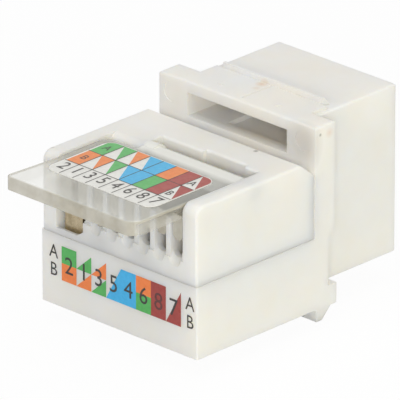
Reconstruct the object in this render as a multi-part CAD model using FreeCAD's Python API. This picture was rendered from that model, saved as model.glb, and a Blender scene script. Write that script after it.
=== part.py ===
"""Tool-less keystone jack: an eight-way socket with a hinged cap that presses the wires home.

Millimetres. X runs across the jack, +Y towards the plug opening, +Z up out of the terminals.
The origin is the middle of the flat underside of the base block.
"""

import FreeCAD
import Part
import math
import os

from FreeCAD import Vector

# ---- base block, flange and port box: the main housing ----
BODY_W = 19.3               # base block and flange
BASE_L = 15.1               # base block, label face to flange
BASE_H = 7.0
TRAY_WALL = 1.5
TRAY_FLOOR = 1.6
FLANGE_T = 2.55
FLANGE_H = 17.7
PORT_W = 14.5               # the standard keystone body
PORT_Z0 = 1.06
PORT_Z1 = 17.41
PORT_L = 10.55              # flange to plug face

BASE_EDGE_R = 0.15
FLANGE_EDGE_R = 0.22
PORT_EDGE_R = 0.18

LABEL_Y = -BASE_L / 2
FLANGE_Y = BASE_L / 2
SEAT_Y = FLANGE_Y + FLANGE_T
PORT_Y = SEAT_Y + PORT_L
HALF_W = BODY_W / 2

PAST = 1.0                  # cuts run this far past the surface they open
SINK = 0.3                  # joined forms run this far into each other
GAP = 0.05                  # clearance of parts that are fixed together

# hook under the flange: upright towards the label, sloping towards the port
HOOK_BACK = 1.0             # this far behind the flange's front face
HOOK_DROP = 1.6
HOOK_TIP = 0.7
HOOK_HEEL = 0.45            # height left of the hook below the ear's far face
HOOK_W = 17.9
EAR_H = 1.96
EAR_OUT = 0.3               # the lower ear stands this far past the seat face
RELIEF = 0.75               # the base stops short of the seat face above the ear

# latch arm on top of the port box, with its catch
LATCH_W = 13.7
CATCH_W = 12.2
CATCH_Z = 18.2
CATCH_Y = SEAT_Y + 1.95
CATCH_LEAN = 0.08           # lean of its steep side
CATCH_TOP = 0.4
CATCH_RUN = 0.7
GROOVE_W = 0.14             # fine groove along the middle of the arm
GROOVE_DEEP = 0.07
GROOVE_L = 1.9              # its length on the flange
DOT_X = 3.6                 # two small raised dots beside it
DOT_IN = 0.9
DOT_R = 0.28
DOT_RISE = 0.06
WINDOW_W = 12.3
WINDOW_Z0 = 14.35
WINDOW_Z1 = 16.6
WINDOW_DEPTH = 6.9
SILL = 1.3                  # shelf behind the window's lower edge
POCKET_Z0 = 13.9
SHELF_W = 3.7               # full-depth shelf at the window's left end
PIN_MARK_R = 0.95
PIN_MARK_IN = 1.5
PIN_MARK_Z = 16.1
PIN_MARK_DEEP = 0.07

# socket for the plug
SOCKET_W = 11.9
SOCKET_Z0 = 4.4
SOCKET_Z1 = 12.6
SOCKET_BACK = FLANGE_Y + 1.3
KEYWAY = [(6.4, 3.1), (3.4, 2.3)]    # width and floor height of each step for the plug's clip

# ---- contact carrier and its eight springs ----
CARRIER_W = 11.7
CARRIER_Z0 = 3.3
CARRIER_Z1 = 13.1
CARRIER_WALL = 0.5
CARRIER_ROOF = 0.45
CARRIER_TIP = PORT_Y - 1.8
CARRIER_BRIDGE = 2.6
LEG_W = 0.8
SPRINGS = 8
SPRING_PITCH = 1.02
SPRING_W = 0.4
SPRING_T = 0.3
SPRING_SLOT_W = 0.6
SPRING_SLOT_L = 1.9
SPRING_STEP_Z = 6.1
SPRING_END_Y = SOCKET_BACK + 1.6
SPRING_END_Z = 9.7
SPRING_RISE_Y = FLANGE_Y + 0.75
SPRING_ROOF_Z = CARRIER_Z1 - 0.65
SPRING_BEND_Y = CARRIER_TIP - 0.35
SPRING_BEND = (0.25, 0.8)   # run and fall of the bend at the tip
SPRING_BEND_R = 0.3
SPRING_TAILS = (1.9, 0.9)   # two rows of tails, this far in front of the flange
BRIDGE_CLEAR = 0.25         # room around the springs under the bridge

# ---- circuit board ----
BOARD_W = 15.8
BOARD_L = 13.1
BOARD_T = 1.0
BOARD_Z = 4.2
BOARD_TOP = BOARD_Z + BOARD_T
TAIL_Z = 3.5

# ---- terminal housing: walls, wire comb, hinge block ----
TERM_INSET = 0.1
TERM_FRONT = LABEL_Y + 0.05
TERM_Z1 = 14.6
TERM_WALL = 1.7
INNER_W = BODY_W - 2 * (TERM_INSET + TERM_WALL)
TERM_NOSE_R = 0.95          # front top corner of each side wall
TERM_EDGE_R = 0.25          # outer edges
TERM_GAP = 0.05             # between the terminal housing and the flange
FLOOR_Z = 7.6
LANES = 8
FIN_W = 0.5
FIN_DEPTH = 0.9
FIN_Z1 = 12.75
FIN_BACK = 0.25             # fins stand this far behind the label face
SLOT_R = 0.7                # round bottom of a slot, which widens towards its top
SLOT_TOP_W = 1.5
SLOT_Z0 = 9.0
SCOOP_L = 0.65
SCOOP_DROP = 0.95           # the slot's floor falls this far on its way out
LANE_WALL_Z1 = 10.4
LANE_L = 6.6                # label face to the back end of the lane walls
LOW_LANES = 2               # one wide opening, cut down to the floor, serves the two left lanes
LOW_X1 = -4.5
LOW_SKIN = 0.3              # the wall left in front of the pocket behind the opening's sill
LOW_CHAMFER = (0.75, 0.5)
CHAMBER_L = 6.8             # label face to the left hinge block
HINGE_BLOCK_L = 10.25       # label face to the back of the hinge recess
SLOPE_L = 1.7
SLOPE_DROP = 1.4
LEFT_BLOCK_X = -4.12
MID_BLOCK_X = 0.9
RIGHT_BLOCK_X = 6.05
BLOCK_PROUD = 0.45          # the middle and right blocks stand out from the recess between them
BLOCK_NOSE_R = 1.2
DECK_EDGE_R = 0.25
CORE_WALL = 1.1
CORE_SIDE = 0.8             # the core stops this far inside the walls
RAIL_T = 0.8
RAIL_END = 0.3

# ---- insulation-displacement contacts ----
IDC_W = 1.2
IDC_T = 0.4
IDC_Z1 = 11.7
IDC_SLIT = 0.3
IDC_SLIT_Z = 9.4
IDC_LEAD = (0.2, 0.9)       # width and depth of the slit's flared mouth
IDC_TIP = 0.5
IDC_SHOULDER = (0.2, 0.35)
IDC_TAIL_W = 0.6
IDC_ROWS = (3.4, 5.6)       # distance of the two staggered rows from the label face
TAB_LANE = 0                # this contact also shows a tab in the comb's wide opening
TAB_X = (-7.3, -5.1)
TAB_Y = 0.65
TAB_Z0 = 7.1
TAB_Z1 = 9.9
LINK_W = 0.3
LINK_Z1 = 8.0

# ---- press cap ----
CAP_W = 15.4
CAP_Z0 = 13.1
CAP_Z1 = 14.5
CAP_LIP = 5.95              # overhang beyond the label face
CAP_BACK = 6.5              # label face to the plate's back edge
CAP_CORNER_R = 1.3          # back corner
CAP_FLARE = 0.45            # the lip's left end spreads by this past the housing
CAP_FLARE_R = 0.4
CAP_EDGE_R = 0.2
HINGE_Y = LABEL_Y + 7.9
HINGE_Z = 13.56
BARREL_R = CAP_Z1 - HINGE_Z
BARREL_X0 = -3.98
LUG_R = 1.15
LUG_X1 = -2.75
PIN_R = 0.5
PIN_CLEAR = 0.05
PIN_L = 1.0
PIN_END = 0.1               # room past the end of each pin
WEB_L = 1.5                 # the web between plate and barrel overlaps the plate by this
RIB_W = 1.15
RIB_TIP_R = 0.5
RIB_Z0 = 10.7
RIB_FRONT = 0.45
RIB_BACK = 6.2
RIB_NOTCH = (0.55, 0.95)    # room in front of and behind a contact: the cap swings past it
RIB_NOTCH_Z = 12.4

# ---- cap label ----
LABEL_X = (-6.7, 6.5)
LABEL_YS = (-2.6, 5.85)     # from the label face
LABEL_T = 0.06
LABEL_R = 1.1

INNER = INNER_W / 2
LANE_PITCH = INNER_W / LANES


def block(x0, x1, y0, y1, z0, z1):
    return Part.makeBox(x1 - x0, y1 - y0, z1 - z0, Vector(x0, y0, z0))


def slab(width, y0, y1, z0, z1):
    """A block centred across the jack."""
    return block(-width / 2, width / 2, y0, y1, z0, z1)


def prism(points, direction):
    """A solid swept from a closed polygon."""
    face = Part.Face(Part.makePolygon(points + points[:1]))
    return face.extrude(direction)


def side_prism(outline, width):
    """A prism across the jack from an outline given as (y, z)."""
    points = [Vector(-width / 2, y, z) for y, z in outline]
    return prism(points, Vector(width, 0, 0))


def front_prism(outline, y0, y1):
    """A prism along Y from an outline given as (x, z)."""
    points = [Vector(x, y0, z) for x, z in outline]
    return prism(points, Vector(0, y1 - y0, 0))


def along_x(radius, x0, x1, y, z):
    """A round bar across the jack."""
    return Part.makeCylinder(radius, x1 - x0, Vector(x0, y, z), Vector(1, 0, 0))


def join(shapes):
    first, rest = shapes[0], shapes[1:]
    return first.fuse(rest).removeSplitter() if rest else first


def is_line(edge, axis):
    """True for a straight edge that runs along a row axis."""
    if not isinstance(edge.Curve, Part.Line):
        return False
    direction = edge.Curve.Direction
    return abs(abs(getattr(direction, axis)) - 1) < 1e-6


def rounded(shape, radius, choose):
    """The shape with a radius on every edge that choose() picks by its middle point."""
    picked = [e for e in shape.Edges if choose(e, e.CenterOfMass)]
    return shape.makeFillet(radius, picked)


def lane_x(lane):
    """Middle of a wire lane."""
    return -INNER + (lane + 0.5) * LANE_PITCH


def spring_x(index):
    return (index - (SPRINGS - 1) / 2) * SPRING_PITCH


def near(a, b):
    return abs(a - b) < 1e-3


# ---- main housing ----

def latch_catch():
    """The ridge on the latch arm: steep towards the flange, gentle towards the port."""
    top = CATCH_Y + CATCH_TOP
    root = PORT_Z1 - SINK
    outline = [(CATCH_Y, root), (CATCH_Y + CATCH_LEAN, CATCH_Z), (top, CATCH_Z),
               (top + CATCH_RUN, PORT_Z1), (top + CATCH_RUN, root)]
    return side_prism(outline, CATCH_W)


def latch_plate():
    plate = slab(LATCH_W, SEAT_Y - SINK, CATCH_Y + GAP, PORT_Z1 - SINK, FLANGE_H)
    groove = slab(GROOVE_W, SEAT_Y - GROOVE_L, CATCH_Y, FLANGE_H - GROOVE_DEEP, FLANGE_H + PAST)
    return plate, groove


def hook():
    """The fixed catch under the flange that goes behind the panel's lower lip."""
    front = FLANGE_Y + HOOK_BACK
    back = SEAT_Y + EAR_OUT
    outline = [(front, SINK), (front, -HOOK_DROP), (front + HOOK_TIP, -HOOK_DROP),
               (back, -HOOK_HEEL), (back, SINK)]
    return side_prism(outline, HOOK_W)


def port_box():
    box = slab(PORT_W, SEAT_Y - SINK, PORT_Y, PORT_Z0, PORT_Z1)

    def long_or_front(edge, middle):
        return is_line(edge, "y") or near(middle.y, PORT_Y)

    return rounded(box, PORT_EDGE_R, long_or_front)


def flange():
    body = slab(BODY_W, FLANGE_Y, SEAT_Y, 0, FLANGE_H)
    relief = slab(BODY_W + PAST, SEAT_Y - RELIEF, SEAT_Y + PAST, EAR_H, BASE_H)
    body = body.cut(relief)
    return rounded(body, FLANGE_EDGE_R, lambda edge, m: near(m.z, FLANGE_H))


def base_block():
    body = slab(BODY_W, LABEL_Y, FLANGE_Y + SINK, 0, BASE_H)

    def outer(edge, middle):
        low_side = is_line(edge, "y") and near(middle.z, 0)
        low_front = is_line(edge, "x") and near(middle.z, 0) and near(middle.y, LABEL_Y)
        upright = is_line(edge, "z") and near(middle.y, LABEL_Y)
        return low_side or low_front or upright

    return rounded(body, BASE_EDGE_R, outer)


def tray():
    """Hollow of the base block, with ledges left for the circuit board."""
    half = HALF_W - TRAY_WALL
    upper = block(-half, half, LABEL_Y + TRAY_WALL, FLANGE_Y, BOARD_Z, BASE_H + PAST)
    lower = block(-half + RAIL_T, half - RAIL_T, LABEL_Y + TRAY_WALL + RAIL_T, FLANGE_Y,
                  TRAY_FLOOR, BOARD_Z)
    return [upper, lower]


def socket_hollow():
    """Plug cavity with the stepped keyway for the plug's clip, and the carrier's seat behind it."""
    half = SOCKET_W / 2
    right = [(half, SOCKET_Z1), (half, SOCKET_Z0)]
    floor = SOCKET_Z0
    for width, step_z in KEYWAY:
        right += [(width / 2, floor), (width / 2, step_z)]
        floor = step_z
    left = [(-x, z) for x, z in reversed(right)]
    cavity = front_prism(right + left, SOCKET_BACK, PORT_Y + PAST)
    seat_w = CARRIER_W + 2 * GAP
    seat = slab(seat_w, FLANGE_Y - PAST, SOCKET_BACK + GAP, CARRIER_Z0 - GAP, CARRIER_Z1 + GAP)
    roof = slab(seat_w, FLANGE_Y, CARRIER_TIP + GAP, SOCKET_Z1 - SINK, CARRIER_Z1 + GAP)
    return [cavity, seat, roof]


def latch_window():
    """Opening under the latch bar, with a shelf and a deeper pocket behind part of it."""
    half = WINDOW_W / 2
    back = FLANGE_Y + WINDOW_DEPTH
    mouth = block(-half, half, FLANGE_Y - PAST, back, WINDOW_Z0, WINDOW_Z1)
    pocket = block(-half + SHELF_W, half, FLANGE_Y + SILL, back, POCKET_Z0, WINDOW_Z1)
    return [mouth, pocket]


def pin_marks():
    """Shallow round marks that the ejector pins leave on the flange."""
    marks = []
    for side in (-1, 1):
        centre = Vector(side * (HALF_W - PIN_MARK_IN), FLANGE_Y, PIN_MARK_Z)
        marks.append(Part.makeCylinder(PIN_MARK_R, PIN_MARK_DEEP, centre, Vector(0, 1, 0)))
    return marks


def top_dots():
    dots = []
    for side in (-1, 1):
        centre = Vector(side * DOT_X, SEAT_Y - DOT_IN, FLANGE_H - SINK)
        dots.append(Part.makeCylinder(DOT_R, SINK + DOT_RISE, centre))
    return dots


def main_housing():
    plate, groove = latch_plate()
    solid = join([base_block(), flange(), port_box(), plate, latch_catch(), hook(), lower_ear()]
                 + top_dots())
    hollows = tray() + socket_hollow() + latch_window() + pin_marks() + [groove]
    return solid.cut(hollows)


def lower_ear():
    return slab(BODY_W, SEAT_Y - RELIEF - SINK, SEAT_Y + EAR_OUT, 0, EAR_H)


# ---- contact carrier, springs and board ----

def tangent_path(points, radius):
    """Straight runs through (y, z) points with every corner rounded."""
    spots = [Vector(0, y, z) for y, z in points]
    edges = []
    start = spots[0]
    for before, corner, after in zip(spots, spots[1:], spots[2:]):
        back = (before - corner).normalize()
        ahead = (after - corner).normalize()
        half_turn = back.getAngle(ahead) / 2
        trim = radius / math.tan(half_turn)
        inward = (back + ahead).normalize()
        enter = corner + back * trim
        leave = corner + ahead * trim
        hub = corner + inward * (radius / math.sin(half_turn))
        middle = hub - inward * radius
        edges.append(Part.LineSegment(start, enter).toShape())
        edges.append(Part.Arc(enter, middle, leave).toShape())
        start = leave
    edges.append(Part.LineSegment(start, spots[-1]).toShape())
    return Part.Wire(edges)


def spring_contact(index):
    """One formed spring: tail, rise behind the socket, run under the roof and the sloping blade."""
    tail_y = FLANGE_Y - SPRING_TAILS[index % 2]
    run, fall = SPRING_BEND
    points = [(tail_y, TAIL_Z), (tail_y, SPRING_STEP_Z), (SPRING_RISE_Y, SPRING_STEP_Z),
              (SPRING_RISE_Y, SPRING_ROOF_Z), (SPRING_BEND_Y, SPRING_ROOF_Z),
              (SPRING_BEND_Y - run, SPRING_ROOF_Z - fall), (SPRING_END_Y, SPRING_END_Z)]
    outer = tangent_path(points, SPRING_BEND_R).makeOffset2D(SPRING_T / 2, openResult=True)
    face = outer.makeOffset2D(-SPRING_T, fill=True, openResult=True)
    strip = face.extrude(Vector(SPRING_W, 0, 0))
    strip.translate(Vector(spring_x(index) - SPRING_W / 2, 0, 0))
    return strip


def contact_carrier():
    """Black insert: a wall behind the socket, a slotted roof over it and a bridge over the tails."""
    half = CARRIER_W / 2
    wall_y = FLANGE_Y + GAP
    tails_y = FLANGE_Y - CARRIER_BRIDGE
    bridge_z = SPRING_STEP_Z + BRIDGE_CLEAR
    wall = slab(CARRIER_W, wall_y, wall_y + CARRIER_WALL, CARRIER_Z0, CARRIER_Z1)
    roof = slab(CARRIER_W, wall_y, CARRIER_TIP, CARRIER_Z1 - CARRIER_ROOF, CARRIER_Z1)
    bridge = slab(CARRIER_W, tails_y, wall_y + SINK, bridge_z, BASE_H - GAP)
    legs = [block(x, x + LEG_W, tails_y, wall_y + SINK, BOARD_TOP, bridge_z + SINK)
            for x in (-half, half - LEG_W)]
    body = join([wall, roof, bridge] + legs)
    row = SPRINGS * SPRING_PITCH
    pass_through = slab(row, wall_y - PAST, wall_y + PAST, SPRING_STEP_Z - BRIDGE_CLEAR, bridge_z)
    slots = []
    for index in range(SPRINGS):
        slot = slab(SPRING_SLOT_W, CARRIER_TIP - SPRING_SLOT_L, CARRIER_TIP + PAST,
                    CARRIER_Z1 - CARRIER_ROOF - PAST, CARRIER_Z1 + PAST)
        slots.append(slot.translated(Vector(spring_x(index), 0, 0)))
    return body.cut([pass_through] + slots)


def circuit_board(pins):
    y0 = LABEL_Y + TRAY_WALL + GAP
    board = slab(BOARD_W, y0, y0 + BOARD_L, BOARD_Z, BOARD_Z + BOARD_T)
    return board.cut(pins)


# ---- terminal housing and its contacts ----

def idc_contact(lane):
    """A flat blade with a slit for the wire and a tail through the board."""
    x = lane_x(lane)
    y = LABEL_Y + IDC_ROWS[lane % 2]
    half, slit, tail = IDC_W / 2, IDC_SLIT / 2, IDC_TAIL_W / 2
    lead_w, lead_z = IDC_LEAD
    shoulder_w, shoulder_z = IDC_SHOULDER
    right = [(x + tail, TAIL_Z), (x + tail, BOARD_TOP), (x + half, BOARD_TOP),
             (x + half, IDC_Z1 - shoulder_z), (x + half - shoulder_w, IDC_Z1),
             (x + slit + lead_w, IDC_Z1 - IDC_TIP), (x + slit, IDC_Z1 - lead_z),
             (x + slit, IDC_SLIT_Z)]
    left = [(2 * x - px, pz) for px, pz in reversed(right)]
    blade = front_prism(right + left, y - IDC_T / 2, y + IDC_T / 2)
    if lane != TAB_LANE:
        return blade
    tab_y = LABEL_Y + TAB_Y
    tab = block(TAB_X[0], TAB_X[1], tab_y, tab_y + IDC_T, TAB_Z0, TAB_Z1)
    link = block(x + half - LINK_W, x + half, tab_y, y, TAB_Z0, LINK_Z1)
    return join([blade, tab, link])


def comb_slot(lane):
    """Round-bottomed slot through the comb, and the scoop that leads a wire out over the sill."""
    x = lane_x(lane)
    hub_z = SLOT_Z0 + SLOT_R
    y0 = LABEL_Y + FIN_BACK + SINK
    left, right = Vector(x - SLOT_R, y0, hub_z), Vector(x + SLOT_R, y0, hub_z)
    top_right = Vector(x + SLOT_TOP_W / 2, y0, TERM_Z1)
    top_left = Vector(x - SLOT_TOP_W / 2, y0, TERM_Z1)
    bottom = Part.Arc(right, Vector(x, y0, SLOT_Z0), left).toShape()
    sides = Part.makePolygon([left, top_left, top_right, right]).Edges
    face = Part.Face(Part.Wire([bottom] + sides))
    fall = 0 if lane < LOW_LANES else -SCOOP_DROP
    return [face.extrude(Vector(0, FIN_DEPTH, 0)), face.extrude(Vector(0, -SCOOP_L, fall))]


def end_slot():
    """The last slot is open as far as the right wall."""
    return block(lane_x(LANES - 1), INNER, LABEL_Y - PAST, LABEL_Y + FIN_BACK + FIN_DEPTH + SINK,
                 SLOT_Z0 + SLOT_R, TERM_Z1)


def low_opening():
    """The wide opening at the left end of the comb, with a pocket behind its sill."""
    y1 = LABEL_Y + FIN_BACK + FIN_DEPTH + SINK
    run, rise = LOW_CHAMFER
    outline = [(-INNER, FLOOR_Z), (LOW_X1 - run, FLOOR_Z), (LOW_X1, FLOOR_Z + rise),
               (LOW_X1, FIN_Z1 + SINK), (-INNER, FIN_Z1 + SINK)]
    mouth = front_prism(outline, LABEL_Y - PAST, y1)
    pocket = block(-INNER, LOW_X1 - run, TERM_FRONT + LOW_SKIN, y1, TAB_Z0, FLOOR_Z + SINK)
    return [mouth, pocket]


def terminal_shell():
    """Outer form of the terminal housing, rounded as moulded."""
    half = HALF_W - TERM_INSET
    back = FLANGE_Y - TERM_GAP
    body = block(-half, half, TERM_FRONT, back, BASE_H, TERM_Z1)
    body = rounded(body, TERM_NOSE_R, lambda e, m: near(m.z, TERM_Z1) and near(m.y, TERM_FRONT))

    def side_rim(edge, middle):
        on_side = near(abs(middle.x), half)
        return on_side and not near(middle.z, BASE_H) and not near(middle.y, back)

    return rounded(body, TERM_EDGE_R, side_rim)


def hinge_space():
    """Room for the cap's hinge barrel between the left block and the right wall."""
    y0 = LABEL_Y + CHAMBER_L
    deep = LABEL_Y + HINGE_BLOCK_L
    proud = deep - BLOCK_PROUD
    return [block(LEFT_BLOCK_X, INNER, y0 - SINK, proud, FLOOR_Z, TERM_Z1 + PAST),
            block(MID_BLOCK_X, RIGHT_BLOCK_X, y0, deep, FLOOR_Z, TERM_Z1 + PAST)]


def pin_holes():
    radius = PIN_R + PIN_CLEAR
    depth = PIN_L + PIN_END
    return [along_x(radius, LEFT_BLOCK_X - depth, LEFT_BLOCK_X, HINGE_Y, HINGE_Z),
            along_x(radius, INNER, INNER + depth, HINGE_Y, HINGE_Z)]


def left_block_round():
    """What is cut off the left hinge block so that the cap's back edge swings past it."""
    y0 = LABEL_Y + CHAMBER_L
    hub_y, hub_z = y0 + BLOCK_NOSE_R, TERM_Z1 - BLOCK_NOSE_R
    corner = block(-INNER, LEFT_BLOCK_X, y0 - SINK, hub_y, hub_z, TERM_Z1 + PAST)
    return corner.cut(along_x(BLOCK_NOSE_R, -INNER, LEFT_BLOCK_X, hub_y, hub_z))


def locating_rails():
    """Rails under the housing that drop into the tray and hold the board down."""
    half = HALF_W - TRAY_WALL - GAP
    y0 = LABEL_Y + TRAY_WALL + GAP
    y1 = FLANGE_Y - RAIL_END
    left = block(-half, -half + RAIL_T, y0, y1, BOARD_TOP, BASE_H)
    right = block(half - RAIL_T, half, y0, y1, BOARD_TOP, BASE_H)
    front = block(-half, half, y0, y0 + RAIL_T, BOARD_TOP, BASE_H)
    return [left, right, front]


def housing_hollows():
    """The wire chamber behind the comb, the slope down to the flange and the core under the deck."""
    chamber_y0 = LABEL_Y + FIN_BACK + FIN_DEPTH
    above = TERM_Z1 + PAST
    chamber = block(-INNER, INNER, chamber_y0, LABEL_Y + CHAMBER_L, FLOOR_Z, above)
    above_comb = block(-INNER, INNER, LABEL_Y - PAST, chamber_y0 + SINK, FIN_Z1, above)
    before_comb = block(-INNER, INNER, LABEL_Y - PAST, LABEL_Y + FIN_BACK, SLOT_Z0, above)
    back = FLANGE_Y - TERM_GAP
    floor_z = TERM_Z1 - SLOPE_DROP
    slope = [(back - SLOPE_L, TERM_Z1), (back, floor_z), (FLANGE_Y, floor_z), (FLANGE_Y, above),
             (back - SLOPE_L, above)]
    slope_cut = side_prism(slope, BODY_W)
    core = slab(2 * (INNER - CORE_SIDE), LABEL_Y + HINGE_BLOCK_L + CORE_WALL, back - CORE_WALL,
                BASE_H, floor_z - CORE_WALL)
    return [chamber, above_comb, before_comb, slope_cut, core]


def lane_wall(lane):
    """The wall between a lane and the one before it."""
    wall = slab(FIN_W, LABEL_Y + FIN_BACK + FIN_DEPTH - GAP, LABEL_Y + LANE_L,
                FLOOR_Z - SINK, LANE_WALL_Z1)
    return wall.translated(Vector(lane_x(lane) - LANE_PITCH / 2, 0, 0))


def deck_edge(edge, middle):
    """True for the top edges of the wall behind the hinge barrel."""
    wall_y = LABEL_Y + HINGE_BLOCK_L
    over_hinge = near(middle.y, wall_y) or near(middle.y, wall_y - BLOCK_PROUD)
    return over_hinge and near(middle.z, TERM_Z1) and is_line(edge, "x")


def terminal_housing(blades):
    cuts = housing_hollows() + hinge_space() + pin_holes() + low_opening()
    cuts += [end_slot(), left_block_round()]
    for lane in range(LANES):
        cuts += comb_slot(lane)
    shell = rounded(terminal_shell().cut(cuts), DECK_EDGE_R, deck_edge)
    lane_walls = [lane_wall(lane) for lane in range(1, LANES)]
    return join([shell] + lane_walls + locating_rails()).cut(blades)


# ---- press cap and its label ----

def cap_plate():
    y0, y1 = LABEL_Y - CAP_LIP, LABEL_Y + CAP_BACK
    half = CAP_W / 2
    flared_x = -half - CAP_FLARE
    outline = [(-half, y1), (half, y1), (half, y0), (flared_x, y0), (-half, LABEL_Y)]
    plate = prism([Vector(x, y, CAP_Z0) for x, y in outline], Vector(0, 0, CAP_Z1 - CAP_Z0))
    plate = rounded(plate, CAP_FLARE_R, lambda e, m: is_line(e, "z") and near(m.x, flared_x))
    plate = rounded(plate, CAP_CORNER_R,
                    lambda e, m: is_line(e, "z") and (near(m.y, y1) or near(m.x, half)))
    return rounded(plate, CAP_EDGE_R, lambda e, m: near(m.z, CAP_Z1))


def cap_rib(lane):
    """Lobe that pushes one wire down. It is cut away where the contact passes as the cap swings,
    and behind a contact of the rear row nothing of it is left."""
    y0, y1 = LABEL_Y + RIB_FRONT, LABEL_Y + RIB_BACK
    rib = slab(RIB_W, y0, y1, RIB_Z0, CAP_Z0 + SINK)
    rib = rounded(rib, RIB_TIP_R, lambda e, m: is_line(e, "y") and near(m.z, RIB_Z0))
    row = lane % 2
    contact_y = LABEL_Y + IDC_ROWS[row]
    before, behind = RIB_NOTCH
    notch_y1 = y1 + PAST if row else contact_y + behind
    notch = slab(2 * RIB_W, contact_y - before, notch_y1, RIB_Z0 - PAST, RIB_NOTCH_Z)
    return rib.cut(notch).translated(Vector(lane_x(lane), 0, 0))


def cap_hinge():
    """Web, barrel, lug and stub pins along the cap's back edge."""
    right = CAP_W / 2
    web = block(BARREL_X0, right, LABEL_Y + CAP_BACK - WEB_L, HINGE_Y, CAP_Z0, CAP_Z1)
    barrel = along_x(BARREL_R, BARREL_X0, right, HINGE_Y, HINGE_Z)
    lug = along_x(LUG_R, BARREL_X0, LUG_X1, HINGE_Y, HINGE_Z)
    left_pin = along_x(PIN_R, LEFT_BLOCK_X - PIN_L, BARREL_X0 + SINK, HINGE_Y, HINGE_Z)
    right_pin = along_x(PIN_R, right - SINK, INNER + PIN_L, HINGE_Y, HINGE_Z)
    return [web, barrel, lug, left_pin, right_pin]


def press_cap():
    ribs = [cap_rib(lane) for lane in range(LANES)]
    return join([cap_plate()] + ribs + cap_hinge())


def cap_label():
    y0, y1 = LABEL_Y + LABEL_YS[0], LABEL_Y + LABEL_YS[1]
    sheet = block(LABEL_X[0], LABEL_X[1], y0, y1, CAP_Z1, CAP_Z1 + LABEL_T)
    return rounded(sheet, LABEL_R, lambda e, m: is_line(e, "z"))


def export(name, shape):
    shape.exportStep(f"parts/{name}.step")


def main():
    os.makedirs("parts", exist_ok=True)
    springs = [spring_contact(index) for index in range(SPRINGS)]
    blades = [idc_contact(lane) for lane in range(LANES)]
    export("main_housing", main_housing())
    export("contact_carrier", contact_carrier())
    export("circuit_board", circuit_board(springs + blades))
    export("terminal_housing", terminal_housing(blades))
    export("press_cap", press_cap())
    export("cap_label", cap_label())
    for index, spring in enumerate(springs, start=1):
        export(f"spring_contact_{index}", spring)
    for lane, blade in enumerate(blades, start=1):
        export(f"idc_contact_{lane}", blade)


main()
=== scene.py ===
"""Looks of the keystone jack: moulded plastics, the clear press cap, metals and the wire-order print."""

import math

import bmesh
import bpy
from mathutils import Matrix, Vector


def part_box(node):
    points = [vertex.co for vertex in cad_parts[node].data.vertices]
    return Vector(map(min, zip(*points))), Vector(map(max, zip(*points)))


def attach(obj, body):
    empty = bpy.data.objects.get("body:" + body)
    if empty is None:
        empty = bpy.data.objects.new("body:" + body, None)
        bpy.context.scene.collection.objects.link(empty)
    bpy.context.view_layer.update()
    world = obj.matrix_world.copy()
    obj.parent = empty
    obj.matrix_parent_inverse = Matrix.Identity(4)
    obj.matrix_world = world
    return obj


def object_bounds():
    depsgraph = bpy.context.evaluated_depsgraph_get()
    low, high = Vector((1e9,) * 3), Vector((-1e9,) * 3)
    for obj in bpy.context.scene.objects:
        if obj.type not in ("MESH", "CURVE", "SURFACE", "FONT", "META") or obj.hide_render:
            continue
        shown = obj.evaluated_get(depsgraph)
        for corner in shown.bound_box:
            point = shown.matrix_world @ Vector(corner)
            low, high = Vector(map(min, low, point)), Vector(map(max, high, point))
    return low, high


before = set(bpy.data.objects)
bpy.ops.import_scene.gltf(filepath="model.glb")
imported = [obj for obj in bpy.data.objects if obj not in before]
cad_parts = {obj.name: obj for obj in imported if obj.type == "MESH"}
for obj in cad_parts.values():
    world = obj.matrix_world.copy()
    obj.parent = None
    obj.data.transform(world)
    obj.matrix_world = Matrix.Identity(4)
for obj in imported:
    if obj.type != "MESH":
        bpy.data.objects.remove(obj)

MM = 0.001
CAD_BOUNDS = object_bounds()

# ---- camera ----
VIEW_AZIMUTH = 44.03
VIEW_ELEVATION = 23.3
VIEW_DISTANCE = 893.4 * MM
LENS = 897.6
AIM = Vector((0.0, 7.45, 9.0)) * MM
AIM_LEFT = 3.218 * MM
AIM_DOWN = 0.941 * MM

# ---- stage ----
FLOOR_SIZE = 1.6
FLOOR_BACK = 0.1
FLOOR_GAP = 0.02 * MM
FLOOR_WHITE = 0.95                  # share of plain white in the floor where it is looked at
WORLD_LIGHT = 0.36
WORLD_TONE = (1.0, 0.99, 0.98, 1)
WARM = (1.0, 0.985, 0.4)
NEUTRAL = (1.0, 0.995, 0.97)
COOL = (0.96, 0.975, 1.0)

# ---- print ----
PRINT_RISE = 0.012 * MM
INK_RISE = 0.02 * MM
TEXT_THICK = 0.004 * MM
LANES = 8
PIN_ORDER = "21354687"

# print on the base's front face, measured from the face's low left corner
BASE_PRINT_LEFT = 2.52 * MM
BASE_PRINT_PITCH = 1.853 * MM
BASE_PRINT_ROWS = (2.7 * MM, 4.38 * MM, 6.03 * MM)
BASE_NUMBER_DROP = 0.15 * MM        # middle of the numbers below the line between the rows
BASE_NUMBER_H = 1.7 * MM
BASE_NUMBER_WIDTH = 0.98
BASE_MARK_H = 1.32 * MM
BASE_MARK_WIDTH = 0.9
BASE_MARK_PLACES = {"left": 1.52 * MM, "right": 18.45 * MM}
BASE_MARK_ROWS = {"A": 5.2 * MM, "B": 3.45 * MM}

# print on the cap's label, measured from the label's front left corner
CAP_PRINT_RIM = 0.09 * MM
CAP_PRINT_R = 1.0 * MM
CAP_PRINT_LEFT = 0.2 * MM
CAP_PRINT_PITCH = 1.62 * MM
CAP_PRINT_ROWS = (2.6 * MM, 5.55 * MM, 8.4 * MM)
CAP_RULE_W = 0.09 * MM
CAP_NUMBER_V = 1.5 * MM
CAP_NUMBER_H = 1.5 * MM
CAP_MARK_H = 0.95 * MM
CAP_FIGURE_WIDTH = 0.86
CAP_MARK_SHIFT = 0.3                # of a pitch, into the white half of the right-hand cells

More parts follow.
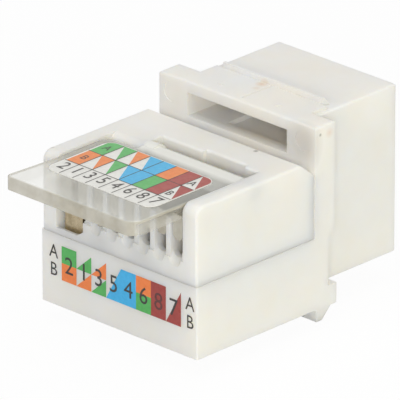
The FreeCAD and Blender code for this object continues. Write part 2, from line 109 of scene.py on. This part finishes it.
# share of light that the clear cap stops
FACE_HAZE = 0.32
EDGE_HAZE = 0.82
SIDE_HAZE = 0.3
HINGE_HAZE = 0.5                    # added along the hinge
HINGE_SPAN = (-1.6 * MM, -0.6 * MM)  # along Y, from no hinge haze to all of it
RIM_Z = 14.25 * MM                  # the cap's sides are denser above this
RIM_FADE = 0.1 * MM
EDGE_CLOUD = 0.25                   # how far pale clouds go in the edges

# colours as seen, 0 to 255
IVORY = (238, 236, 233)
IVORY_WARM = (237, 233, 226)
CLEAR = (248, 248, 243)
# painted shade for the cap's side faces, standing in for light bent in its thick edges
CLEAR_EDGE_SHADE = (180, 174, 158)
CARRIER_BLACK = (42, 42, 44)
CARRIER_GREY = (52, 52, 54)
BOARD_GREEN = (38, 92, 56)
BOARD_PALE = (48, 110, 66)
GOLD = (214, 176, 96)
GOLD_DULL = (190, 150, 84)
TINNED = (190, 176, 148)
TINNED_DULL = (160, 146, 118)
WHITE = (228, 227, 223)
GREEN = (74, 166, 82)
ORANGE = (229, 122, 58)
BLUE = (54, 168, 224)
BROWN = (150, 54, 48)
UMBER = (84, 38, 36)
INK = (44, 42, 40)
LABEL_FADE = 0.14                   # how far the label's inks go towards white
PRINT_UNEVEN = 10                   # how much paler an ink gets in places
STAIN = (222, 186, 156)
SOOT = (96, 94, 90)
SHADE = (152, 151, 149)
# painted shade: grey on the comb front below the cap
COMB_PAINTED_SHADE = (206, 205, 203)
# painted shade: a darker tone deep in the right-hand lanes
LANE_PAINTED_SHADE = (176, 168, 154)
# painted light: a lighter, warmer tone in the window's pocket, not the plastic's colour
POCKET_PAINTED_LIGHT = (255, 243, 224)

# soft round patches: middle in mm, radius in mm, colour, strength
# STAIN and SOOT are marks of use. The other patches aren't the plastic's own colour: they are painted light
# and shade that stand in for light the lamps don't give, and stay the same under any other light.
HOUSING_STAINS_AND_PAINTED_LIGHT = [((2.2, 9.8, 15.0), 5.2, POCKET_PAINTED_LIGHT, 1.0),
                 ((-0.9, 11.7, 17.7), 0.7, STAIN, 0.7),
                 ((-0.6, 10.7, 17.7), 0.5, STAIN, 0.35),
                 ((9.65, 9.4, 16.8), 0.6, STAIN, 0.4),
                 ((9.65, 8.2, 16.9), 0.2, SOOT, 0.7),
                 ((8.2, 5.6, 15.9), 3.4, SHADE, 1.0)]
# darker painted shade in the right-hand lanes, grey painted shade on the comb front, and dark dots on the
# deck and the left wall
TERMINAL_STAINS_AND_PAINTED_SHADE = [((6.2, -4.5, 9.5), 2.9, LANE_PAINTED_SHADE, 1.0),
                  ((2.8, -4.5, 9.5), 2.7, LANE_PAINTED_SHADE, 1.0),
                  ((-2.4, -7.4, 8.0), 3.0, COMB_PAINTED_SHADE, 0.8),
                  ((2.6, -7.4, 8.2), 3.2, COMB_PAINTED_SHADE, 0.8),
                  ((4.3, 5.5, 14.6), 0.3, SOOT, 0.8),
                  ((-9.4, -6.5, 14.5), 0.35, SOOT, 0.6)]


def linear(colour):
    """A 0 to 255 screen colour as the linear RGBA that a shader takes."""
    scaled = [c / 255 for c in colour]
    return [c / 12.92 if c <= 0.04045 else ((c + 0.055) / 1.055) ** 2.4 for c in scaled] + [1.0]


# ---- materials ----

class Nodes:
    """A material's node tree with short calls to add and link nodes."""

    def __init__(self, name):
        self.material = bpy.data.materials.new(name)
        self.material.use_nodes = True
        self.tree = self.material.node_tree
        self.tree.nodes.clear()
        self.shader = self.add("ShaderNodeBsdfPrincipled")
        self.output = self.add("ShaderNodeOutputMaterial")
        self.link(self.shader.outputs["BSDF"], self.output.inputs["Surface"])
        self.place = self.add("ShaderNodeTexCoord").outputs["Object"]

    def add(self, kind, **settings):
        node = self.tree.nodes.new(kind)
        for key, value in settings.items():
            setattr(node, key, value)
        return node

    def link(self, source, target):
        self.tree.links.new(source, target)

    def set(self, **sockets):
        for name, value in sockets.items():
            self.shader.inputs[name.replace("_", " ")].default_value = value

    def noise(self, size, detail=2.0, rough=0.5):
        """Noise whose features are about size metres across."""
        node = self.add("ShaderNodeTexNoise")
        node.inputs["Scale"].default_value = 1 / size
        node.inputs["Detail"].default_value = detail
        node.inputs["Roughness"].default_value = rough
        self.link(self.place, node.inputs["Vector"])
        return node.outputs["Fac"]

    def maths(self, operation, *values):
        node = self.add("ShaderNodeMath", operation=operation)
        for place, value in enumerate(values):
            self.link(value, node.inputs[place])
        return node.outputs[0]

    def spread(self, value, low, high, start=0.3, end=0.7):
        node = self.add("ShaderNodeMapRange")
        self.link(value, node.inputs["Value"])
        for name, number in (("From Min", start), ("From Max", end), ("To Min", low), ("To Max", high)):
            node.inputs[name].default_value = number
        return node.outputs["Result"]

    def blend(self, factor, first, second):
        node = self.add("ShaderNodeMix", data_type="RGBA")
        self.link(factor, node.inputs["Factor"])
        node.inputs["A"].default_value = linear(first)
        node.inputs["B"].default_value = linear(second)
        return node.outputs["Result"]

    def mark(self, base, centre, radius, colour, strength):
        """The colour of base with a soft round mark over it; centre is in mm on the part."""
        away = self.add("ShaderNodeVectorMath", operation="DISTANCE")
        self.link(self.place, away.inputs[0])
        away.inputs[1].default_value = Vector(centre) * MM
        node = self.add("ShaderNodeMix", data_type="RGBA")
        self.link(self.spread(away.outputs["Value"], strength, 0.0, 0.0, radius * MM),
                  node.inputs["Factor"])
        self.link(base, node.inputs["A"])
        node.inputs["B"].default_value = linear(colour)
        return node.outputs["Result"]

    def colour(self, socket):
        self.link(socket, self.shader.inputs["Base Color"])

    def roughness(self, size, low, high):
        self.link(self.spread(self.noise(size, 3.0), low, high), self.shader.inputs["Roughness"])

    def bump(self, height, depth, strength=0.5):
        node = self.add("ShaderNodeBump")
        node.inputs["Distance"].default_value = depth
        node.inputs["Strength"].default_value = strength
        self.link(height, node.inputs["Height"])
        self.link(node.outputs["Normal"], self.shader.inputs["Normal"])


def moulded(name, main, warm, glow=0.5, marks=()):
    """Satin white plastic: faintly cloudy colour, fine mould grain and a little light in its depth."""
    m = Nodes(name)
    tone = m.blend(m.spread(m.noise(4 * MM, 3.0), 0.0, 1.0), main, warm)
    # stains, dark dots and soft patches of painted light and shade over the plastic's tone
    for mark in marks:
        tone = m.mark(tone, *mark)
    m.colour(tone)
    m.roughness(0.8 * MM, 0.4, 0.54)
    m.bump(m.noise(0.09 * MM, 2.0), 0.004 * MM, 0.35)
    m.set(Subsurface_Weight=glow, Subsurface_Radius=(1.0, 0.8, 0.55), Subsurface_Scale=4.0 * MM, IOR=1.5)
    return m.material


def clear_plastic():
    """The cap's clear plastic: hazy and see-through on its flat faces, dense in its edges, whose grey is
    painted shade that stands in for light bent in the thick plastic.
    """
    m = Nodes("clear_plastic")
    tilt = m.add("ShaderNodeSeparateXYZ")
    m.link(m.add("ShaderNodeTexCoord").outputs["Normal"], tilt.inputs[0])
    along = m.add("ShaderNodeSeparateXYZ")
    m.link(m.place, along.inputs[0])
    near_hinge = m.spread(along.outputs["Y"], 0.0, 1.0, *HINGE_SPAN)
    level = m.maths("ABSOLUTE", tilt.outputs["Z"])
    flat = m.maths("MAXIMUM", m.spread(level, 0.0, 1.0, 0.3, 0.95), near_hinge)
    cloud = m.spread(m.noise(1.4 * MM, 3.0), 0.0, EDGE_CLOUD)
    # side faces take the painted grey edge shade, flat faces and the hinge band the plain clear colour;
    # pale noise clouds the edges at random
    m.colour(m.blend(m.maths("MAXIMUM", flat, cloud), CLEAR_EDGE_SHADE, CLEAR))
    rim = m.spread(along.outputs["Z"], SIDE_HAZE, EDGE_HAZE, RIM_Z - RIM_FADE, RIM_Z)
    edge = m.add("ShaderNodeMix", data_type="FLOAT")
    m.link(m.spread(m.maths("ABSOLUTE", tilt.outputs["X"]), 0.0, 1.0, 0.7, 0.95), edge.inputs["Factor"])
    edge.inputs["A"].default_value = EDGE_HAZE
    m.link(rim, edge.inputs["B"])
    haze = m.add("ShaderNodeMix", data_type="FLOAT")
    m.link(flat, haze.inputs["Factor"])
    m.link(edge.outputs["Result"], haze.inputs["A"])
    haze.inputs["B"].default_value = FACE_HAZE
    hinge = m.maths("MULTIPLY", near_hinge)
    hinge.node.inputs[1].default_value = HINGE_HAZE
    m.link(m.maths("ADD", haze.outputs["Result"], hinge), m.shader.inputs["Alpha"])
    m.roughness(0.6 * MM, 0.12, 0.22)
    m.bump(m.noise(0.25 * MM, 2.0), 0.003 * MM, 0.3)
    m.set(IOR=1.45)
    return m.material


def metal(name, tone, dull):
    """Plated strip with fine drawing marks."""
    m = Nodes(name)
    m.colour(m.blend(m.spread(m.noise(0.7 * MM, 3.0), 0.0, 1.0), tone, dull))
    m.roughness(0.3 * MM, 0.22, 0.4)
    m.bump(m.noise(0.05 * MM, 1.0), 0.002 * MM, 0.3)
    m.set(Metallic=1.0)
    return m.material


def laminate():
    """Circuit board under green solder mask."""
    m = Nodes("board_laminate")
    m.colour(m.blend(m.spread(m.noise(0.5 * MM, 4.0), 0.0, 1.0), BOARD_GREEN, BOARD_PALE))
    m.roughness(0.5 * MM, 0.3, 0.42)
    m.bump(m.noise(0.2 * MM, 1.0), 0.004 * MM, 0.3)
    return m.material


def printed(name, colour, gloss=0.45):
    """Ink or film of one colour, a little uneven as printed."""
    m = Nodes(name)
    paler = tuple(min(255, c + PRINT_UNEVEN) for c in colour)
    m.colour(m.blend(m.spread(m.noise(0.35 * MM, 3.0), 0.0, 1.0), colour, paler))
    m.roughness(0.5 * MM, gloss - 0.05, gloss + 0.08)
    m.bump(m.noise(0.08 * MM, 1.0), 0.002 * MM, 0.25)
    return m.material


def faded(colour):
    """The paler tone of an ink on the cap's label."""
    return tuple(c + LABEL_FADE * (white - c) for c, white in zip(colour, WHITE))


def dress(material, *nodes):
    """Gives CAD nodes their material."""
    for name in nodes:
        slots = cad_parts[name].data.materials
        slots.clear()
        slots.append(material)


def dress_cad_nodes():
    """Every node of the frame gets its material."""
    numbers = range(1, LANES + 1)
    dress(moulded("housing_plastic", IVORY, IVORY_WARM, marks=HOUSING_STAINS_AND_PAINTED_LIGHT), "main_housing")
    dress(moulded("terminal_plastic", IVORY, IVORY_WARM, marks=TERMINAL_STAINS_AND_PAINTED_SHADE), "terminal_housing")
    dress(moulded("carrier_plastic", CARRIER_BLACK, CARRIER_GREY, glow=0.0), "contact_carrier")
    dress(laminate(), "circuit_board")
    dress(clear_plastic(), "press_cap")
    dress(printed("label_film", WHITE), "cap_label")
    dress(metal("spring_metal", GOLD, GOLD_DULL), *[f"spring_contact_{i}" for i in numbers])
    dress(metal("idc_metal", TINNED, TINNED_DULL), *[f"idc_contact_{i}" for i in numbers])


# ---- print: fields of colour, numbers and row marks ----

class Sheet:
    """A flat place for print: u and v run along it, and lift stands off it."""

    def __init__(self, corner, across, upward):
        self.corner = Vector(corner)
        self.across = Vector(across)
        self.upward = Vector(upward)
        self.lift = self.across.cross(self.upward)

    def point(self, u, v, lift=0.0):
        return self.corner + self.across * u + self.upward * v + self.lift * lift

    def matrix(self, u, v, lift):
        turn = Matrix((self.across, self.upward, self.lift)).transposed().to_4x4()
        return Matrix.Translation(self.point(u, v, lift)) @ turn


def print_fields(name, sheet, fields, lift, inks, body):
    """One piece of flat coloured polygons; fields are (ink, [(u, v), ...])."""
    mesh = bpy.data.meshes.new(name)
    for ink in inks.values():
        mesh.materials.append(ink)
    order = list(inks)
    shape = bmesh.new()
    for ink, outline in fields:
        face = shape.faces.new([shape.verts.new(sheet.point(u, v, lift)) for u, v in outline])
        face.material_index = order.index(ink)
    shape.to_mesh(mesh)
    shape.free()
    piece = bpy.data.objects.new(name, mesh)
    bpy.context.scene.collection.objects.link(piece)
    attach(piece, body)
    return piece


def print_text(name, sheet, text, u, v, height, width_scale, ink, body):
    """One character or word in plain letters, centred on (u, v)."""
    curve = bpy.data.curves.new(name, "FONT")
    curve.body = text
    curve.align_x = "CENTER"
    curve.align_y = "CENTER"
    curve.size = height / 0.72
    curve.extrude = TEXT_THICK
    curve.resolution_u = 3
    curve.materials.append(ink)
    piece = bpy.data.objects.new(name, curve)
    bpy.context.scene.collection.objects.link(piece)
    piece.matrix_world = sheet.matrix(u, v, INK_RISE) @ Matrix.Diagonal((width_scale, 1, 1, 1))
    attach(piece, body)
    return piece


def rounded_box(width, depth, radius, steps=8):
    """Anticlockwise outline of a box from (0, 0) with round corners."""
    hubs = [(width - radius, depth - radius), (radius, depth - radius), (radius, radius),
            (width - radius, radius)]
    outline = []
    for quarter, (u, v) in enumerate(hubs):
        for step in range(steps + 1):
            turn = math.pi / 2 * (quarter + step / steps)
            outline.append((u + radius * math.cos(turn), v + radius * math.sin(turn)))
    return outline


def clipped(outline, boundary):
    """The part of a polygon inside a convex anticlockwise boundary."""
    for (u0, v0), (u1, v1) in zip(boundary, boundary[1:] + boundary[:1]):
        inside = [(u1 - u0) * (v - v0) - (v1 - v0) * (u - u0) for u, v in outline]
        kept = []
        for i, (u, v) in enumerate(outline):
            following = (i + 1) % len(outline)
            here, there = inside[i], inside[following]
            if here >= 0:
                kept.append((u, v))
            if here * there < 0:
                share = here / (here - there)
                next_u, next_v = outline[following]
                kept.append((u + share * (next_u - u), v + share * (next_v - v)))
        outline = kept
    return outline


def box_field(u0, v0, u1, v1):
    return [(u0, v0), (u1, v0), (u1, v1), (u0, v1)]


def right_triangle(u0, v0, u1, v1):
    """The half of a cell right of the diagonal from its low left to its high right corner."""
    return [(u0, v0), (u1, v0), (u1, v1)]


def far_triangle(u0, v0, u1, v1):
    """The half of a cell beyond the diagonal from its high left to its low right corner."""
    return [(u1, v0), (u1, v1), (u0, v1)]


def front_print(inks):
    """The wire order on the base: two rows of colour with a number on each pair of cells."""
    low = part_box("main_housing")[0]
    sheet = Sheet((low.x, low.y, 0.0), (1, 0, 0), (0, 0, 1))
    pitch = BASE_PRINT_PITCH
    bottom, middle, top = BASE_PRINT_ROWS
    cells = [("green", "orange", box_field), ("green", "orange", right_triangle),
             ("orange", "green", right_triangle), None, ("blue", "blue", box_field),
             ("orange", "green", box_field), ("brown", "brown", box_field), None]
    fields = []
    for lane, cell in enumerate(cells):
        u0, u1 = (BASE_PRINT_LEFT + edge * pitch for edge in (lane, lane + 1))
        if cell:
            upper, lower, form = cell
            fields.append((upper, form(u0, middle, u1, top)))
            fields.append((lower, form(u0, bottom, u1, middle)))
        else:
            fields.append(("blue" if lane == 3 else "brown", right_triangle(u0, bottom, u1, top)))
        ink = inks["umber" if lane == 6 else "ink"]
        print_text(f"base_number_{lane + 1}", sheet, PIN_ORDER[lane], u0 + pitch / 2,
                   middle - BASE_NUMBER_DROP, BASE_NUMBER_H, BASE_NUMBER_WIDTH, ink, "housing")
    print_fields("base_colours", sheet, fields, PRINT_RISE, inks, "housing")
    for side, u in BASE_MARK_PLACES.items():
        for mark, v in BASE_MARK_ROWS.items():
            print_text(f"base_{mark}_{side}", sheet, mark, u, v, BASE_MARK_H, BASE_MARK_WIDTH,
                       inks["ink"], "housing")


def cap_print(inks):
    """The same order on the cap: two rows of colour and a row of numbers, ruled in dark lines."""
    low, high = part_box("cap_label")
    sheet = Sheet((low.x, low.y, high.z), (1, 0, 0), (0, 1, 0))
    width, depth = high.x - low.x, high.y - low.y
    rim = CAP_PRINT_RIM
    boundary = [(u + rim, v + rim) for u, v in
                rounded_box(width - 2 * rim, depth - 2 * rim, CAP_PRINT_R)]
    columns = [CAP_PRINT_LEFT + lane * CAP_PRINT_PITCH for lane in range(LANES + 1)]
    front_v, middle_v, back_v = CAP_PRINT_ROWS
    front_row = ["orange", "orange/", "green/", "blue/", "blue", "green", "brown", "brown/"]
    back_row = ["green", "green/", "orange/", "blue/", "blue", "orange", "brown", "brown/"]
    fields = []
    for v0, v1, row in ((front_v, middle_v, front_row), (middle_v, back_v, back_row)):
        for u0, u1, ink in zip(columns, columns[1:], row):
            form = far_triangle if ink.endswith("/") else box_field
            fields.append((ink.rstrip("/"), clipped(form(u0, v0, u1, v1), boundary)))
    print_fields("cap_colours", sheet, fields, PRINT_RISE, inks, "cap")
    half = CAP_RULE_W / 2
    rules = [box_field(0, v - half, width, v + half) for v in (front_v, middle_v)]
    rules += [box_field(u - half, 0, u + half, depth) for u in columns[1:-1]]
    rules = [("ink", clipped(rule, boundary)) for rule in rules]
    print_fields("cap_rules", sheet, rules, INK_RISE, inks, "cap")
    for lane, number in enumerate(PIN_ORDER):
        print_text(f"cap_number_{lane + 1}", sheet, number, columns[lane] + CAP_PRINT_PITCH / 2,
                   CAP_NUMBER_V, CAP_NUMBER_H, CAP_FIGURE_WIDTH, inks["ink"], "cap")
    shift = CAP_PRINT_PITCH * CAP_MARK_SHIFT
    for mark, v in (("B", (front_v + middle_v) / 2), ("A", (middle_v + back_v) / 2)):
        print_text(f"cap_{mark}_left", sheet, mark, columns[0] + CAP_PRINT_PITCH / 2, v,
                   CAP_MARK_H, CAP_FIGURE_WIDTH, inks["ink"], "cap")
        print_text(f"cap_{mark}_right", sheet, mark, columns[7] + shift, v - shift,
                   CAP_MARK_H, CAP_FIGURE_WIDTH, inks["ink"], "cap")


def add_print():
    """Print on the base and, in paler tones, on the cap's label."""
    colours = {"green": GREEN, "orange": ORANGE, "blue": BLUE, "brown": BROWN, "umber": UMBER, "ink": INK}
    front_print({name: printed(f"ink_{name}", colour) for name, colour in colours.items()})
    cap_print({name: printed(f"label_{name}", faded(colour)) for name, colour in colours.items()})


# ---- stage ----


def looked_at(tree):
    """1 for rays that the camera, a reflection or clear plastic looks along, and 0 for light."""
    rays = tree.nodes.new("ShaderNodeLightPath")
    result = rays.outputs["Is Camera Ray"]
    for kind in ("Is Transmission Ray", "Is Glossy Ray"):
        either = tree.nodes.new("ShaderNodeMath")
        either.operation = "MAXIMUM"
        tree.links.new(result, either.inputs[0])
        tree.links.new(rays.outputs[kind], either.inputs[1])
        result = either.outputs[0]
    return result


def add_floor():
    """Plain pale floor that takes the jack's shadow."""
    bpy.ops.mesh.primitive_plane_add(size=FLOOR_SIZE, location=(0, FLOOR_BACK, CAD_BOUNDS[0].z - FLOOR_GAP))
    floor = bpy.context.object
    floor.name = "floor"
    m = Nodes("floor_paint")
    m.shader.inputs["Base Color"].default_value = (0.92, 0.92, 0.92, 1)
    m.shader.inputs["Roughness"].default_value = 0.9
    white = m.add("ShaderNodeEmission")
    white.inputs["Strength"].default_value = 1.0
    share = m.add("ShaderNodeMath", operation="MULTIPLY")
    share.inputs[1].default_value = FLOOR_WHITE
    m.link(looked_at(m.tree), share.inputs[0])
    mix = m.add("ShaderNodeMixShader")
    m.link(share.outputs[0], mix.inputs["Fac"])
    m.link(m.shader.outputs["BSDF"], mix.inputs[1])
    m.link(white.outputs["Emission"], mix.inputs[2])
    m.link(mix.outputs["Shader"], m.output.inputs["Surface"])
    floor.data.materials.append(m.material)


def add_world():
    """Even soft light all round, seen as plain white."""
    world = bpy.data.worlds.new("studio")
    world.use_nodes = True
    tree = world.node_tree
    background = tree.nodes["Background"]
    background.inputs["Color"].default_value = WORLD_TONE
    level = tree.nodes.new("ShaderNodeMapRange")
    level.inputs["To Min"].default_value = WORLD_LIGHT
    level.inputs["To Max"].default_value = 1.0
    tree.links.new(looked_at(tree), level.inputs["Value"])
    tree.links.new(level.outputs["Result"], background.inputs["Strength"])
    bpy.context.scene.world = world


def add_lamp(name, azimuth, elevation, distance, size, power, tint):
    """A square soft box that looks at the jack."""
    light = bpy.data.lights.new(name, "AREA")
    light.size = size
    light.energy = power
    light.color = tint
    lamp = bpy.data.objects.new(name, light)
    bpy.context.scene.collection.objects.link(lamp)
    back = direction(azimuth, elevation)
    lamp.location = AIM + back * distance
    lamp.rotation_mode = "QUATERNION"
    lamp.rotation_quaternion = back.to_track_quat("Z", "Y")
    return lamp


def direction(azimuth, elevation):
    """Unit vector from the jack towards azimuth (0 is -Y, 90 is +X) and elevation, in degrees."""
    a, e = math.radians(azimuth), math.radians(elevation)
    return Vector((math.sin(a) * math.cos(e), -math.cos(a) * math.cos(e), math.sin(e)))


def add_lamps():
    """Soft boxes; the front one shows in no reflection, so that the tops don't glare from behind."""
    front = add_lamp("front", azimuth=46, elevation=18, distance=0.5, size=0.12, power=1.1, tint=NEUTRAL)
    front.visible_glossy = False
    add_lamp("side", azimuth=88, elevation=25, distance=0.35, size=0.25, power=0.12, tint=WARM)
    add_lamp("top", azimuth=0, elevation=88, distance=0.35, size=0.3, power=0.55, tint=COOL)


def add_camera():
    """The photo's view through a very long lens."""
    back = direction(VIEW_AZIMUTH, VIEW_ELEVATION)
    right = Vector((math.cos(math.radians(VIEW_AZIMUTH)), math.sin(math.radians(VIEW_AZIMUTH)), 0))
    up = back.cross(right)
    data = bpy.data.cameras.new("camera")
    data.lens = LENS
    data.sensor_width = 36
    data.clip_start = 0.01
    data.clip_end = 10
    camera = bpy.data.objects.new("camera", data)
    bpy.context.scene.collection.objects.link(camera)
    camera.location = AIM - right * AIM_LEFT - up * AIM_DOWN + back * VIEW_DISTANCE
    camera.rotation_mode = "QUATERNION"
    camera.rotation_quaternion = back.to_track_quat("Z", "Y")
    bpy.context.scene.camera = camera


dress_cad_nodes()
add_print()
add_floor()
add_world()
add_lamps()
add_camera()
bpy.context.scene.view_settings.view_transform = "Standard"
